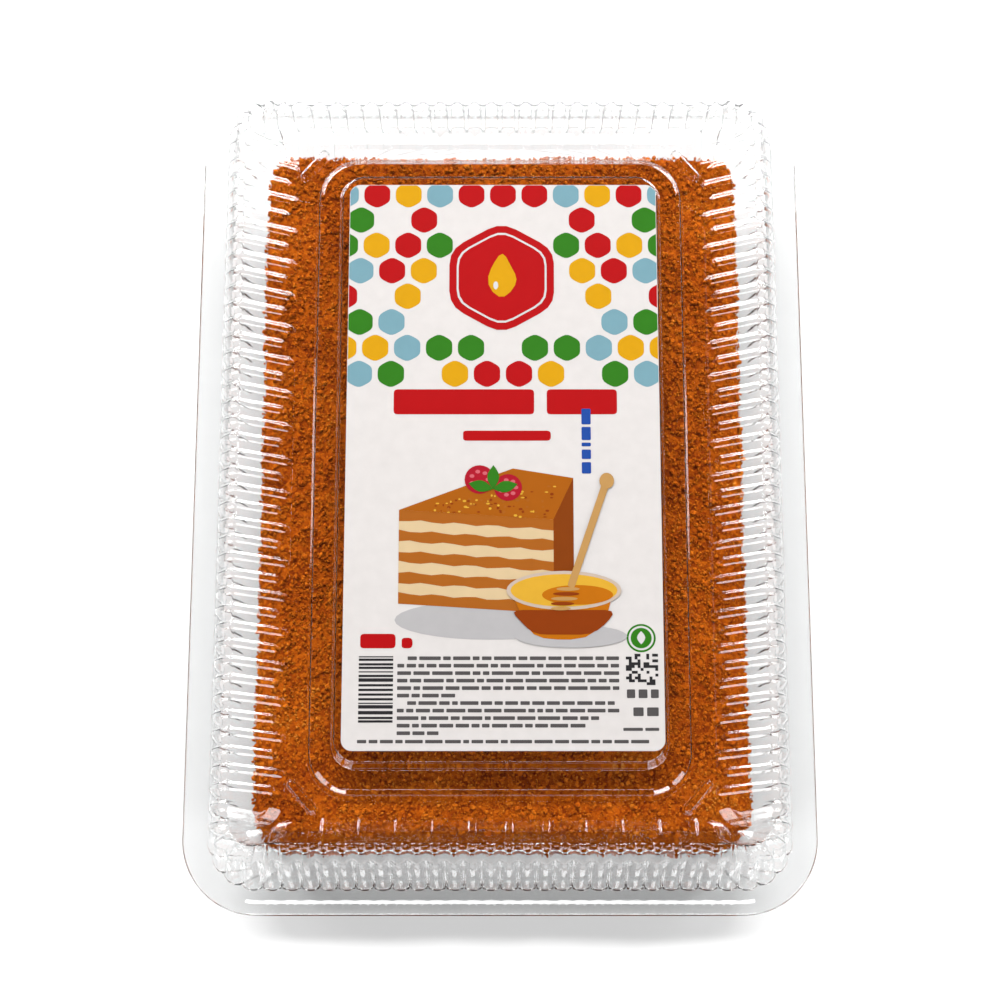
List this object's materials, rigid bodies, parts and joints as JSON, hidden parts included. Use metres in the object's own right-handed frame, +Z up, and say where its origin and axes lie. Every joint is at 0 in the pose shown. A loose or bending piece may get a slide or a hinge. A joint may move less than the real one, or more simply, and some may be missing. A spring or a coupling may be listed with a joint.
{
  "type": "honey cake in a clear lidded tray",
  "caption": "Rectangular crumb-coated honey cake shut in a clear fluted tray and lid, with a printed label on the lid's raised panel.",
  "frame": {"origin": "middle of the tray's underside, where the pack rests", "axes": "+Z up, +Y along the pack to its far end, the top of the label, +X to the right of the label"},
  "size_m": [0.19, 0.2634, 0.0511],
  "materials": {
    "clear_tray": "clear thermoformed sheet",
    "clear_lid": "clear thermoformed sheet",
    "cake_crumb": "rough baked crumb",
    "label_paper": "smooth coated paper"
  },
  "bodies": {
    "root": {"tray": "clear_tray", "lid": "clear_lid", "cake": "cake_crumb", "label": "label_paper"}
  },
  "joints": []
}
